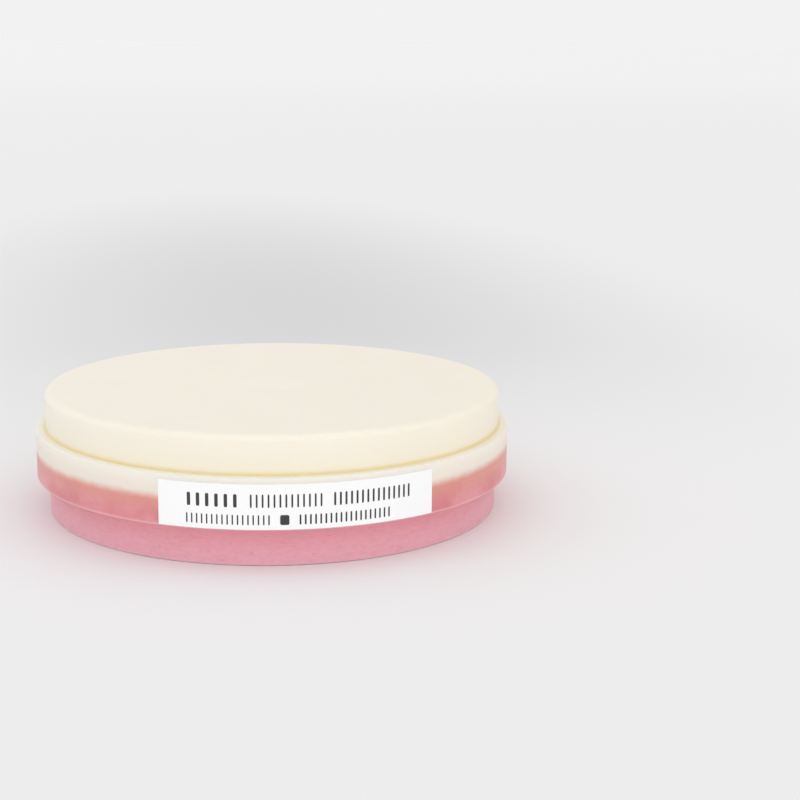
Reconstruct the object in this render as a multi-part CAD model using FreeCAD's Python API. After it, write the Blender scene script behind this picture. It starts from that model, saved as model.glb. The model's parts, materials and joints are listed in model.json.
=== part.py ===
import FreeCAD, Part
import math
import os

# Two-colour PMMA milling disc, lying on its gum-coloured face. All sizes are in millimetres.
# The origin is the centre of that face, +Z is the disc's axis, and the label faces -Y.

# Clamping rim: the widest part, gripped on its two ledges by the holder's ring
rim_diameter = 98.0
rim_thickness = 10.0
rim_edge_break = 0.25

# Tooth-coloured side: the disc is turned down to a boss above the rim
tooth_boss_height = 7.5
tooth_ledge_width = 2.0
tooth_face_rounding = 1.2

# Gum-coloured side: a slightly smaller boss below the rim
gum_boss_height = 7.5
gum_ledge_width = 2.5
gum_face_break = 0.4

# Radius that the nose of the turning tool leaves in both inner corners
tool_nose_radius = 0.3

# Height of the line between the two colours above the rim's lower ledge
gum_height_in_rim = 5.8

# Self-adhesive label, wrapped round the front of the rim
label_length = 54.0
label_thickness = 0.1
label_lower_margin = 0.3
label_upper_margin = 1.1

# Sizes worked out from the ones above
rim_radius = rim_diameter / 2
tooth_boss_radius = rim_radius - tooth_ledge_width
gum_boss_radius = rim_radius - gum_ledge_width
rim_bottom = gum_boss_height
rim_top = rim_bottom + rim_thickness
tooth_face = rim_top + tooth_boss_height
colour_line = rim_bottom + gum_height_in_rim

axis_origin = FreeCAD.Vector(0, 0, 0)
axis_direction = FreeCAD.Vector(0, 0, 1)


def half_section(corners):
    """Closed flat face in the XZ plane, from corners given as radius and height."""
    points = [FreeCAD.Vector(radius, 0, height) for radius, height in corners]
    return Part.Face(Part.makePolygon(points + points[:1]))


def circular_edges(solid, radius, height):
    """The circular edges of a turned solid at one radius and one height."""
    return [
        edge
        for edge in solid.Edges
        if isinstance(edge.Curve, Part.Circle)
        and math.isclose(edge.Curve.Radius, radius, abs_tol=1e-6)
        and math.isclose(edge.Curve.Center.z, height, abs_tol=1e-6)
    ]


def turned_disc():
    """The whole disc as it leaves the lathe: a rim with a boss on each side, and every edge eased."""
    section = half_section([
        (0, 0),
        (gum_boss_radius, 0),
        (gum_boss_radius, rim_bottom),
        (rim_radius, rim_bottom),
        (rim_radius, rim_top),
        (tooth_boss_radius, rim_top),
        (tooth_boss_radius, tooth_face),
        (0, tooth_face),
    ])
    disc = section.revolve(axis_origin, axis_direction, 360)

    # The tooth-coloured face is rounded, and the gum-coloured face has a small chamfer
    disc = disc.makeFillet(tooth_face_rounding, circular_edges(disc, tooth_boss_radius, tooth_face))
    disc = disc.makeChamfer(gum_face_break, circular_edges(disc, gum_boss_radius, 0))

    # The rim's two outer edges are broken so that it slides into the holder
    for height in (rim_bottom, rim_top):
        disc = disc.makeChamfer(rim_edge_break, circular_edges(disc, rim_radius, height))

    # Each boss meets its ledge in the tool's nose radius
    disc = disc.makeFillet(tool_nose_radius, circular_edges(disc, gum_boss_radius, rim_bottom))
    disc = disc.makeFillet(tool_nose_radius, circular_edges(disc, tooth_boss_radius, rim_top))
    return disc


def resin_layers(disc):
    """The turned disc parted at the line where the two charges of resin were pressed together."""
    below_the_line = Part.makeCylinder(rim_diameter, colour_line)
    gum_layer = disc.common(below_the_line)
    tooth_layer = disc.cut(below_the_line)
    return tooth_layer.Solids[0], gum_layer.Solids[0]


def rim_label():
    """A thin band on the rim's wall, its lower edge near the rim's and its middle at the front."""
    outer_radius = rim_radius + label_thickness
    bottom = rim_bottom + label_lower_margin
    top = rim_top - label_upper_margin
    section = half_section([
        (rim_radius, bottom),
        (outer_radius, bottom),
        (outer_radius, top),
        (rim_radius, top),
    ])
    wrap_angle = math.degrees(label_length / rim_radius)
    band = section.revolve(axis_origin, axis_direction, wrap_angle)
    band.rotate(axis_origin, axis_direction, -90 - wrap_angle / 2)
    return band


def main():
    tooth_layer, gum_layer = resin_layers(turned_disc())
    nodes = {
        "tooth_layer": tooth_layer,
        "gum_layer": gum_layer,
        "label": rim_label(),
    }
    os.makedirs("parts", exist_ok=True)
    for name, shape in nodes.items():
        shape.exportStep(f"parts/{name}.step")
        print(f"{name}: {shape.ShapeType}, valid {shape.isValid()}, volume {shape.Volume:.1f} mm3")


main()
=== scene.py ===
import json
import math

import bmesh
import bpy
from mathutils import Matrix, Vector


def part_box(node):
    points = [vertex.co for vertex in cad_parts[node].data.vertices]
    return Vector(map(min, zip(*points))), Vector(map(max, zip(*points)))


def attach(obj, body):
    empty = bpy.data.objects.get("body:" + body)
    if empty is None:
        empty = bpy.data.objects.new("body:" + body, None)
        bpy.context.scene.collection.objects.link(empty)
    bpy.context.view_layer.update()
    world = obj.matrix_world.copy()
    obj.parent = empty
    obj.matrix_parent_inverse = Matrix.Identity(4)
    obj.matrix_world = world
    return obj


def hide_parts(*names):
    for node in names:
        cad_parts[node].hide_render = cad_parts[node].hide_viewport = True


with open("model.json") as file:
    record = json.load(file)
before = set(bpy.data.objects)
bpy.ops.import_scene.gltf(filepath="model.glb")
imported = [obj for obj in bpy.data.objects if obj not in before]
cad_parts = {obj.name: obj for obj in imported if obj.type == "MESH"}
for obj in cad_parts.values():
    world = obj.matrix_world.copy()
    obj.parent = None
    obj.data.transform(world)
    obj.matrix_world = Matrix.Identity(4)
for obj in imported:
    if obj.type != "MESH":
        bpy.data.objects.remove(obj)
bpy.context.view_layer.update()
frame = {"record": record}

# Tooth-coloured layer: the upper boss and the upper part of the clamping rim, in cream PMMA.
# The two resins are pressed and cured onto each other, and the disc is then turned in one
# setting, so the face and walls carry fine turning marks and every edge is eased.
layer_low, layer_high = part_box("tooth_layer")
ledge_height = {
    mount["name"]: mount["pos_m"][2]
    for mount in frame["record"]["mounts"]
    if mount["kind"] == "flat_face"
}
rim_radius = layer_high.x
colour_line = layer_low.z
rim_top = ledge_height["upper_ledge"]
rim_bottom = ledge_height["lower_ledge"]
tooth_face = layer_high.z
gum_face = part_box("gum_layer")[0].z
tooth_ledge_width = 0.0020
gum_ledge_width = 0.0025
tooth_boss_radius = rim_radius - tooth_ledge_width
gum_boss_radius = rim_radius - gum_ledge_width
tooth_face_rounding = 0.0012
rim_edge_break = 0.00025
tool_nose_radius = 0.0003

# How finely turned shapes are faceted and shaded, and how close two places count as the same
turned_segments = 288
rounding_segments = 12
corner_segments = 4
break_segments = 2
shading_ring_width = 0.0003
smooth_angle = math.radians(40)
near = 0.000002


def turned_blank(name, bottom, top):
    """A plain round slice of the rim, open in edit mode and with nothing selected."""
    bpy.ops.object.select_all(action="DESELECT")
    bpy.ops.mesh.primitive_cylinder_add(
        vertices=turned_segments,
        radius=rim_radius,
        depth=top - bottom,
        location=(0, 0, (bottom + top) / 2),
    )
    piece = bpy.context.object
    piece.name = name
    bpy.ops.object.transform_apply(location=True, rotation=True, scale=True)
    bpy.ops.object.mode_set(mode="EDIT")
    bpy.ops.mesh.select_all(action="DESELECT")
    return piece


def select_face(piece, height):
    """Selects the flat round face that lies at one height."""
    bpy.ops.mesh.select_mode(type="FACE")
    bpy.ops.mesh.select_all(action="DESELECT")
    mesh = bmesh.from_edit_mesh(piece.data)
    for face in mesh.faces:
        face.select_set(all(abs(corner.co.z - height) < near for corner in face.verts))
    bmesh.update_edit_mesh(piece.data)


def select_ring(piece, radius, height):
    """Selects the circle of edges at one radius and one height."""
    bpy.ops.mesh.select_mode(type="EDGE")
    bpy.ops.mesh.select_all(action="DESELECT")
    mesh = bmesh.from_edit_mesh(piece.data)
    for edge in mesh.edges:
        edge.select_set(all(
            abs(corner.co.z - height) < near and abs(corner.co.xy.length - radius) < near
            for corner in edge.verts
        ))
    bmesh.update_edit_mesh(piece.data)


def turn_down(piece, ledge, ledge_width, boss_face):
    """Cuts a boss: the rim's face is inset by the ledge and drawn out to the boss's face."""
    select_face(piece, ledge)
    bpy.ops.mesh.inset(thickness=ledge_width, depth=0)
    bpy.ops.mesh.extrude_region_move(
        TRANSFORM_OT_translate={"value": (0, 0, boss_face - ledge)}
    )


def ease_ring(piece, radius, height, size, segments):
    """Rounds or breaks one circle of edges."""
    select_ring(piece, radius, height)
    bpy.ops.mesh.bevel(offset=size, offset_type="OFFSET", segments=segments, affect="EDGES")


def ring_round_face(piece, height):
    """Puts a narrow ring just inside a flat face, so that its shading stays flat up to the edge."""
    select_face(piece, height)
    bpy.ops.mesh.inset(thickness=shading_ring_width, depth=0)


def finish_turning(piece):
    """Leaves edit mode with smooth shading that stays true on the flat faces."""
    bpy.ops.mesh.select_all(action="SELECT")
    bpy.ops.mesh.normals_make_consistent(inside=False)
    bpy.ops.object.mode_set(mode="OBJECT")
    bpy.ops.object.shade_smooth_by_angle(angle=smooth_angle)
    bpy.ops.object.modifier_add(type="WEIGHTED_NORMAL")
    piece.modifiers[-1].keep_sharp = True
    bpy.ops.object.modifier_apply(modifier=piece.modifiers[-1].name)


tooth_layer = turned_blank("tooth_layer_resin", colour_line, rim_top)
turn_down(tooth_layer, rim_top, tooth_ledge_width, tooth_face)
ease_ring(tooth_layer, tooth_boss_radius, tooth_face, tooth_face_rounding, rounding_segments)
ease_ring(tooth_layer, tooth_boss_radius, rim_top, tool_nose_radius, corner_segments)
ease_ring(tooth_layer, rim_radius, rim_top, rim_edge_break, break_segments)
ring_round_face(tooth_layer, tooth_face)
finish_turning(tooth_layer)


def ink(red, green, blue):
    """A colour as it is read off a swatch, 0 to 255, turned into the linear values of a socket."""
    swatch = [channel / 255 for channel in (red, green, blue)]
    linear = [c / 12.92 if c <= 0.04045 else ((c + 0.055) / 1.055) ** 2.4 for c in swatch]
    return (*linear, 1)


class Finish:
    """A procedural finish on Object coordinates, built up by methods that add its nodes."""

    def __init__(self, name):
        self.material = bpy.data.materials.new(name)
        self.material.use_nodes = True
        self.nodes = self.material.node_tree.nodes
        self.links = self.material.node_tree.links
        self.shader = self.nodes["Principled BSDF"]
        self.place = self.nodes.new("ShaderNodeTexCoord").outputs["Object"]
        axes = self.nodes.new("ShaderNodeSeparateXYZ")
        self.links.new(self.place, axes.inputs[0])
        self.x, self.y, self.height = axes.outputs
        self.radius = self.length(self.x, self.y)

    def feed(self, socket, value):
        """Links a node's output to a socket, or sets a plain value on it."""
        if isinstance(value, bpy.types.NodeSocket):
            self.links.new(value, socket)
        else:
            socket.default_value = value

    def sum_up(self, operation, *values):
        """Arithmetic on one or two values."""
        node = self.nodes.new("ShaderNodeMath")
        node.operation = operation
        for socket, value in zip(node.inputs, values):
            self.feed(socket, value)
        return node.outputs[0]

    def length(self, first, second):
        """The distance that two lengths at right angles span."""
        squares = [self.sum_up("MULTIPLY", side, side) for side in (first, second)]
        return self.sum_up("SQRT", self.sum_up("ADD", *squares))

    def noise(self, scale, packing=(1, 1, 1), detail=3.0, roughness=0.5, vector=None):
        """A random pattern, mostly near one half, packed closer by a factor along each axis."""
        mapping = self.nodes.new("ShaderNodeMapping")
        mapping.inputs["Scale"].default_value = packing
        self.links.new(vector or self.place, mapping.inputs["Vector"])
        texture = self.nodes.new("ShaderNodeTexNoise")
        texture.inputs["Scale"].default_value = scale
        texture.inputs["Detail"].default_value = detail
        texture.inputs["Roughness"].default_value = roughness
        self.links.new(mapping.outputs["Vector"], texture.inputs["Vector"])
        return texture.outputs["Fac"]

    def fade(self, value, low, high, full=1.0):
        """A share that runs smoothly from nothing at one value to full at another."""
        node = self.nodes.new("ShaderNodeMapRange")
        node.interpolation_type = "SMOOTHSTEP"
        self.links.new(value, node.inputs["Value"])
        node.inputs["From Min"].default_value = low
        node.inputs["From Max"].default_value = high
        node.inputs["To Max"].default_value = full
        return node.outputs["Result"]

    def blend(self, share, first, second):
        """Mixes two colours. They go into sockets 6 and 7 of the node, and output 2 is the mix."""
        node = self.nodes.new("ShaderNodeMix")
        node.data_type = "RGBA"
        self.feed(node.inputs[0], share)
        self.feed(node.inputs[6], first)
        self.feed(node.inputs[7], second)
        return node.outputs[2]

    def tint(self, share, strength, first, second):
        """Blends by a share that is first brought down to a strength."""
        return self.blend(self.sum_up("MULTIPLY", share, strength), first, second)

    def near_ring(self, ring_radius, ring_height, reach):
        """One on a circle round the axis, falling to nothing at a distance from it."""
        distance = self.length(
            self.sum_up("SUBTRACT", self.radius, ring_radius),
            self.sum_up("SUBTRACT", self.height, ring_height),
        )
        return self.fade(distance, reach, 0.0)

    def paint(self, colour):
        """Gives the shader its base colour."""
        self.links.new(colour, self.shader.inputs["Base Color"])

    def roughen(self, low, high, pattern):
        """Roughness that runs between two values along a pattern."""
        spread = self.sum_up("MULTIPLY", pattern, high - low)
        self.links.new(self.sum_up("ADD", spread, low), self.shader.inputs["Roughness"])

    def emboss(self, pattern, strength, depth):
        """Fine relief along a pattern."""
        bump = self.nodes.new("ShaderNodeBump")
        bump.inputs["Strength"].default_value = strength
        bump.inputs["Distance"].default_value = depth
        self.links.new(pattern, bump.inputs["Height"])
        self.links.new(bump.outputs["Normal"], self.shader.inputs["Normal"])


# Radii between which the cream face turns paler, and heights at which the pink tones change
pale_middle_radius = 0.009
palest_middle_radius = 0.005
# Heights between which painted light makes the pink boss paler
boss_painted_light_top = rim_bottom - 0.001
boss_painted_light_foot = gum_face + 0.001
salmon_foot = rim_bottom + 0.0008


def cream_resin(finish):
    """Ivory on the face, deeper down the boss in part as painted shade, pinker down the rim to the gum
    resin.
    """
    cream = finish.blend(finish.noise(70, detail=2), ink(246, 239, 224), ink(249, 242, 229))
    # Deeper and yellower down the boss wall: partly the resin's own tone, partly painted warm shade
    down_boss_tone_and_painted_light = finish.fade(finish.height, tooth_face - tooth_face_rounding, rim_top)
    cream = finish.tint(down_boss_tone_and_painted_light, 0.75, cream, ink(248, 239, 219))
    on_rim = finish.sum_up("GREATER_THAN", finish.radius, tooth_boss_radius + tool_nose_radius)
    cream = finish.tint(on_rim, 0.8, cream, ink(243, 238, 229))
    down_rim = finish.sum_up("MULTIPLY", on_rim, finish.fade(finish.height, rim_top, colour_line))
    cream = finish.tint(down_rim, 0.8, cream, ink(238, 226, 212))
    middle = finish.fade(finish.radius, pale_middle_radius, palest_middle_radius)
    return finish.tint(middle, 0.3, cream, ink(252, 246, 236))


def gum_resin(finish):
    """Rose pink in soft clouds, finely mottled, with streaks and red grains. Salmon near the cream."""
    clouds = finish.fade(finish.noise(130, detail=4), 0.36, 0.64)
    pink = finish.blend(clouds, ink(215, 129, 136), ink(227, 153, 160))
    # Painted light: the boss paler than the rim, and paler still towards its foot
    on_boss_painted_light = finish.fade(finish.height, rim_bottom + tool_nose_radius, boss_painted_light_top)
    pink = finish.tint(on_boss_painted_light, 0.75, pink, ink(230, 161, 173))
    down_boss_tone_and_painted_light = finish.fade(finish.height, boss_painted_light_top, boss_painted_light_foot)
    pink = finish.tint(down_boss_tone_and_painted_light, 0.8, pink, ink(233, 177, 190))
    mottle = finish.fade(finish.noise(800, packing=(1, 1, 2.5), detail=3, roughness=0.6), 0.40, 0.70)
    pink = finish.tint(mottle, 0.24, pink, ink(214, 127, 138))
    streaks = finish.fade(finish.noise(150, packing=(1, 1, 13), detail=4, roughness=0.6), 0.54, 0.76)
    pink = finish.tint(streaks, 0.3, pink, ink(206, 112, 116))
    grains = finish.fade(finish.noise(1500, packing=(1, 1, 2), detail=1), 0.70, 0.78)
    pink = finish.tint(grains, 0.4, pink, ink(190, 88, 92))
    salmon = finish.fade(finish.height, salmon_foot, colour_line)
    return finish.tint(salmon, 0.85, pink, ink(222, 151, 135))


# The line between the colours climbs to the right by this share, lies a little above the bond
# face, wanders, is grainy, and is soft below and above
line_climb = 0.006
line_lift = 0.0001
line_wander = 0.0007
line_grain = 0.0007
line_soft_below = 0.0011
line_soft_above = 0.0009

# How far the painted shade and painted light at the inner corners and the broken edges reach
painted_corner_shade_reach = 0.0009
painted_corner_light_reach = 0.0024
painted_rim_highlight_reach = 0.0007
painted_face_highlight_reach = 0.0009

# Depth of the turning marks, and how far light sinks in: not at all near the bond face that parts
# the two pieces, and fully a few millimetres from it
turning_mark_depth = 0.00001
light_reach = 0.0025
light_starts = 0.0004
light_full = 0.003


def pressed_resin(name):
    """Satin PMMA in its two colours, which change over along a soft line round the rim."""
    finish = Finish(name)

    climb = finish.sum_up("MULTIPLY", finish.x, line_climb)
    wander = finish.sum_up("SUBTRACT", finish.noise(28, packing=(1, 1, 0), detail=1), 0.5)
    grain = finish.sum_up("SUBTRACT", finish.noise(420, packing=(1, 1, 1.6), detail=3), 0.5)
    line = finish.sum_up("ADD", climb, colour_line + line_lift)
    line = finish.sum_up("ADD", finish.sum_up("MULTIPLY", wander, line_wander), line)
    line = finish.sum_up("ADD", finish.sum_up("MULTIPLY", grain, line_grain), line)
    above_line = finish.sum_up("SUBTRACT", finish.height, line)
    share = finish.fade(above_line, -line_soft_below, line_soft_above)
    colour = finish.blend(share, gum_resin(finish), cream_resin(finish))

    # Painted shade makes the upper inner corner deeper, painted light makes the lower one paler
    upper_corner_painted_shade = finish.near_ring(tooth_boss_radius, rim_top, painted_corner_shade_reach)
    lower_corner_painted_light = finish.near_ring(gum_boss_radius, rim_bottom, painted_corner_light_reach)
    rim_edge_painted_highlight = finish.near_ring(rim_radius, rim_bottom, painted_rim_highlight_reach)
    face_edge_painted_highlight = finish.near_ring(gum_boss_radius, gum_face, painted_face_highlight_reach)
    colour = finish.tint(upper_corner_painted_shade, 0.72, colour, ink(239, 218, 146))
    colour = finish.tint(lower_corner_painted_light, 0.6, colour, ink(245, 170, 184))
    # Painted highlights make the rim's lower edge and the boss's face edge a little paler
    colour = finish.tint(rim_edge_painted_highlight, 0.6, colour, ink(238, 200, 204))
    colour = finish.tint(face_edge_painted_highlight, 0.35, colour, ink(238, 200, 204))
    finish.paint(colour)

    # Turning marks: rings on the faces and threads on the walls, worked out from radius and height
    turning = finish.nodes.new("ShaderNodeCombineXYZ")
    finish.links.new(finish.radius, turning.inputs["X"])
    finish.links.new(finish.height, turning.inputs["Y"])
    marks = finish.noise(2600, detail=2, vector=turning.outputs[0])
    finish.emboss(marks, 0.22, turning_mark_depth)
    finish.roughen(0.30, 0.44, finish.noise(160, packing=(1, 1, 5)))

    # Light sinks a little way into the resin, and red light goes furthest
    from_bond = finish.sum_up("ABSOLUTE", finish.sum_up("SUBTRACT", finish.height, colour_line))
    sunk_light = finish.fade(from_bond, light_starts, light_full, full=0.4)
    finish.links.new(sunk_light, finish.shader.inputs["Subsurface Weight"])
    finish.shader.inputs["Subsurface Radius"].default_value = (1.0, 0.7, 0.45)
    finish.shader.inputs["Subsurface Scale"].default_value = light_reach
    finish.shader.inputs["IOR"].default_value = 1.49
    return finish.material


tooth_layer.data.materials.append(pressed_resin("tooth_resin_satin"))
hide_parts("tooth_layer")
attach(tooth_layer, "root")

# Gum-coloured layer: the lower boss and the lower part of the rim, in pink PMMA.
# Its boss is a millimetre smaller across than the cream one, and its face edge has a small
# chamfer on which the disc lies.
gum_face_break = 0.0004

gum_layer = turned_blank("gum_layer_resin", rim_bottom, colour_line)
turn_down(gum_layer, rim_bottom, gum_ledge_width, gum_face)
ease_ring(gum_layer, gum_boss_radius, gum_face, gum_face_break, break_segments)
ease_ring(gum_layer, gum_boss_radius, rim_bottom, tool_nose_radius, corner_segments)
ease_ring(gum_layer, rim_radius, rim_bottom, rim_edge_break, break_segments)
ring_round_face(gum_layer, gum_face)
finish_turning(gum_layer)
gum_layer.data.materials.append(pressed_resin("gum_resin_satin"))
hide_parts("gum_layer")
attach(gum_layer, "root")

# Label: a strip of white self-adhesive film, a tenth of a millimetre thick, wrapped round the
# front of the rim. Its corners are cut square. It is a hair thinner than its solid, which leaves
# room for the print.
label_low, label_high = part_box("label")
print_room = 0.00001
label_radius = -label_low.y - print_room
label_bottom = label_low.z
label_top = label_high.z
label_turn = 2 * math.asin(label_high.x / -label_low.y)
label_steps = 72
label_smooth_angle = math.radians(30)
merge_reach = 1e-7

bpy.ops.object.select_all(action="DESELECT")
bpy.ops.mesh.primitive_plane_add(
    size=1,
    location=((rim_radius + label_radius) / 2, 0, (label_bottom + label_top) / 2),
    rotation=(math.radians(90), 0, 0),
)
label = bpy.context.object
label.name = "label_film"
label.scale = (label_radius - rim_radius, label_top - label_bottom, 1)
bpy.ops.object.transform_apply(location=True, rotation=True, scale=True)

# The strip starts at the label's right end, because spin goes clockwise seen from above
label.data.transform(Matrix.Rotation(-math.pi / 2 + label_turn / 2, 4, "Z"))
bpy.ops.object.mode_set(mode="EDIT")
bpy.ops.mesh.select_all(action="SELECT")
bpy.ops.mesh.spin(steps=label_steps, angle=label_turn, center=(0, 0, 0), axis=(0, 0, 1))
bpy.ops.mesh.select_all(action="SELECT")
bpy.ops.mesh.remove_doubles(threshold=merge_reach)
bpy.ops.mesh.normals_make_consistent(inside=False)
bpy.ops.object.mode_set(mode="OBJECT")
bpy.ops.object.shade_smooth_by_angle(angle=label_smooth_angle)

film = Finish("label_film_white")
fibres = film.noise(900, packing=(1, 1, 2))
film.paint(film.blend(fibres, ink(250, 251, 252), ink(253, 254, 254)))
film.roughen(0.38, 0.52, fibres)
film.emboss(film.noise(2200), 0.1, 0.000005)
label.data.materials.append(film.material)
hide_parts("label")
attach(label, "root")

# Print on the label: two rows of plain upright ticks, with one square in the lower row, in dark
# grey ink under a hundredth of a millimetre thick. They only differ in weight and say nothing.
ink_height = print_room / 2
ink_sunk = 0.00003
tick_rounding = 0.18
tick_corner_segments = 3
group_gap = 0.0015
print_start = -0.0218
print_rows = [
    # foot height, tick height, then groups of a count of ticks, their spacing and their width
    (0.0120, 0.0025, [(6, 0.00175, 0.00066), (13, 0.00108, 0.00034), (15, 0.00108, 0.00040)]),
    (0.0087, 0.0019, [(17, 0.00096, 0.00028), (1, 0.00180, 0.00170), (19, 0.00096, 0.00034)]),
]

# The tick is a unit cube whose four edges through its thickness are rounded
bpy.ops.object.select_all(action="DESELECT")
bpy.ops.mesh.primitive_cube_add(size=1)
tick = bpy.context.object
bpy.ops.object.mode_set(mode="EDIT")
bpy.ops.mesh.select_mode(type="EDGE")
bpy.ops.mesh.select_all(action="DESELECT")
mesh = bmesh.from_edit_mesh(tick.data)
for edge in mesh.edges:
    edge.select_set(abs(edge.verts[0].co.y - edge.verts[1].co.y) > 0.5)
bmesh.update_edit_mesh(tick.data)
bpy.ops.mesh.bevel(offset=tick_rounding, segments=tick_corner_segments, affect="EDGES")
bpy.ops.object.mode_set(mode="OBJECT")


def stamp(arc, foot, width, height):
    """One copy of the tick, scaled, set into the label's surface and turned to its place."""
    mark = tick.copy()
    mark.data = tick.data.copy()
    bpy.context.scene.collection.objects.link(mark)
    thickness = ink_sunk + ink_height
    middle = label_radius + ink_height - thickness / 2
    mark.data.transform(
        Matrix.Rotation(arc / label_radius, 4, "Z")
        @ Matrix.Translation((0, -middle, foot + height / 2))
        @ Matrix.Diagonal((width, thickness, height, 1))
    )
    return mark


marks = []
for foot, tick_height, groups in print_rows:
    group_start = print_start
    for count, spacing, width in groups:
        for place in range(count):
            marks.append(stamp(group_start + (place + 0.5) * spacing, foot, width, tick_height))
        group_start += count * spacing + group_gap
bpy.ops.object.select_all(action="DESELECT")
for mark in marks:
    mark.select_set(True)
bpy.context.view_layer.objects.active = marks[0]
bpy.ops.object.join()
label_print = marks[0]
label_print.name = "label_print"
bpy.data.objects.remove(tick)

printed = Finish("print_ink_grey")
patches = printed.noise(1800, detail=2)
printed.paint(printed.blend(patches, ink(44, 44, 48), ink(66, 66, 70)))
printed.roughen(0.42, 0.60, patches)
printed.emboss(patches, 0.1, 0.000004)
label_print.data.materials.append(printed.material)
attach(label_print, "root")

# Floor: a plain pale table top, a little paler far off, with a painted soft grey shadow of the disc
# a little way behind it. The painted shadow is narrower than it is deep, and starts at the disc.
floor_size = 30.0
shadow_centre_x = 0.03
shadow_centre_y = 0.25
shadow_depth = 0.50
shadow_narrowing = 2.7
shadow_starts = -0.02
shadow_full = 0.20
near_floor_radius = 0.6
far_floor_radius = 4.0

bpy.ops.object.select_all(action="DESELECT")
bpy.ops.mesh.primitive_plane_add(size=floor_size, location=(0, 0, gum_face))
floor = bpy.context.object
floor.name = "floor"
table = Finish("pale_table")
sideways = table.sum_up("SUBTRACT", table.x, shadow_centre_x)
across = table.sum_up("MULTIPLY", sideways, shadow_narrowing)
from_painted_shadow = table.length(across, table.sum_up("SUBTRACT", table.y, shadow_centre_y))
shadow_behind_disc = table.fade(table.y, shadow_starts, shadow_full)
painted_shadow = table.sum_up("MULTIPLY", table.fade(from_painted_shadow, shadow_depth, 0.0), shadow_behind_disc)
far_off = table.fade(table.radius, near_floor_radius, far_floor_radius)
plain = table.blend(far_off, ink(243, 243, 245), ink(247, 248, 250))
# The painted shadow turns the table grey behind the disc
table.paint(table.blend(painted_shadow, plain, ink(219, 219, 222)))
table.shader.inputs["Roughness"].default_value = 0.7
floor.data.materials.append(table.material)

# Light: an even pale tent all round, a little warmer low down at the right, with one soft light
# in front, which reflections don't show. The camera sees an even pale backdrop instead of the tent.
tent_pale_side = (-0.85, -0.45, 0.25)
tent_warm_tone = (0.74, 0.63, 0.50, 1)
tent_pale_tone = (0.89, 0.89, 0.89, 1)
tent_warm_share = 0.36
tent_strength = 1.04

world = bpy.data.worlds.new("pale_tent")
bpy.context.scene.world = world
world.use_nodes = True
tent_nodes = world.node_tree.nodes
tent_links = world.node_tree.links
tent = tent_nodes["Background"]
direction = tent_nodes.new("ShaderNodeTexCoord").outputs["Generated"]
toward = tent_nodes.new("ShaderNodeVectorMath")
toward.operation = "DOT_PRODUCT"
toward.inputs[1].default_value = tent_pale_side
tent_links.new(direction, toward.inputs[0])
swing = tent_nodes.new("ShaderNodeMapRange")
swing.inputs["From Min"].default_value = -1.0
swing.inputs["From Max"].default_value = 1.0
tent_links.new(toward.outputs["Value"], swing.inputs["Value"])
sides = tent_nodes.new("ShaderNodeValToRGB")
sides.color_ramp.elements[0].color = tent_warm_tone
sides.color_ramp.elements[1].color = tent_pale_tone
sides.color_ramp.elements[1].position = tent_warm_share
tent_links.new(swing.outputs["Result"], sides.inputs["Fac"])
tent_links.new(sides.outputs["Color"], tent.inputs["Color"])
tent.inputs["Strength"].default_value = tent_strength

backdrop = tent_nodes.new("ShaderNodeBackground")
backdrop.inputs["Color"].default_value = ink(242, 242, 243)
seen = tent_nodes.new("ShaderNodeMixShader")
tent_links.new(tent_nodes.new("ShaderNodeLightPath").outputs["Is Camera Ray"], seen.inputs[0])
tent_links.new(tent.outputs[0], seen.inputs[1])
tent_links.new(backdrop.outputs[0], seen.inputs[2])
tent_links.new(seen.outputs[0], tent_nodes["World Output"].inputs["Surface"])

# A very wide distant lamp stands for the soft light, so that the whole floor is lit alike. It
# shines from its place in front towards the middle of the disc's lower face.
front_lamp = bpy.data.lights.new("front_soft_light", "SUN")
front_lamp.angle = math.radians(60)
front_lamp.energy = 0.57
front_light = bpy.data.objects.new("front_soft_light", front_lamp)
bpy.context.scene.collection.objects.link(front_light)
front_light.visible_glossy = False
front_light.location = (0.04, -1.0, 0.20)
aim = -front_light.location.normalized()
front_light.rotation_euler = aim.to_track_quat("-Z", "Y").to_euler()

# Camera: where the photograph was taken from, a little above the disc and left of the label's
# middle, through a long lens
camera_azimuth = math.radians(-5.75)
camera_distance = 0.34347
camera_height = 0.09696
camera_yaw = math.radians(-10.17)
camera_pitch = math.radians(-12.41)
camera_roll = math.radians(0.56)

camera = bpy.data.objects.new("camera", bpy.data.cameras.new("camera"))
bpy.context.scene.collection.objects.link(camera)
bpy.context.scene.camera = camera
camera.data.sensor_width = 36
camera.data.lens = 75.2
camera.data.clip_start = 0.01
camera.location = (
    camera_distance * math.sin(camera_azimuth),
    -camera_distance * math.cos(camera_azimuth),
    camera_height,
)
camera.rotation_euler = (
    Matrix.Rotation(camera_yaw, 3, "Z")
    @ Matrix.Rotation(math.pi / 2 + camera_pitch, 3, "X")
    @ Matrix.Rotation(camera_roll, 3, "Z")
).to_euler()

bpy.context.scene.view_settings.view_transform = "Standard"
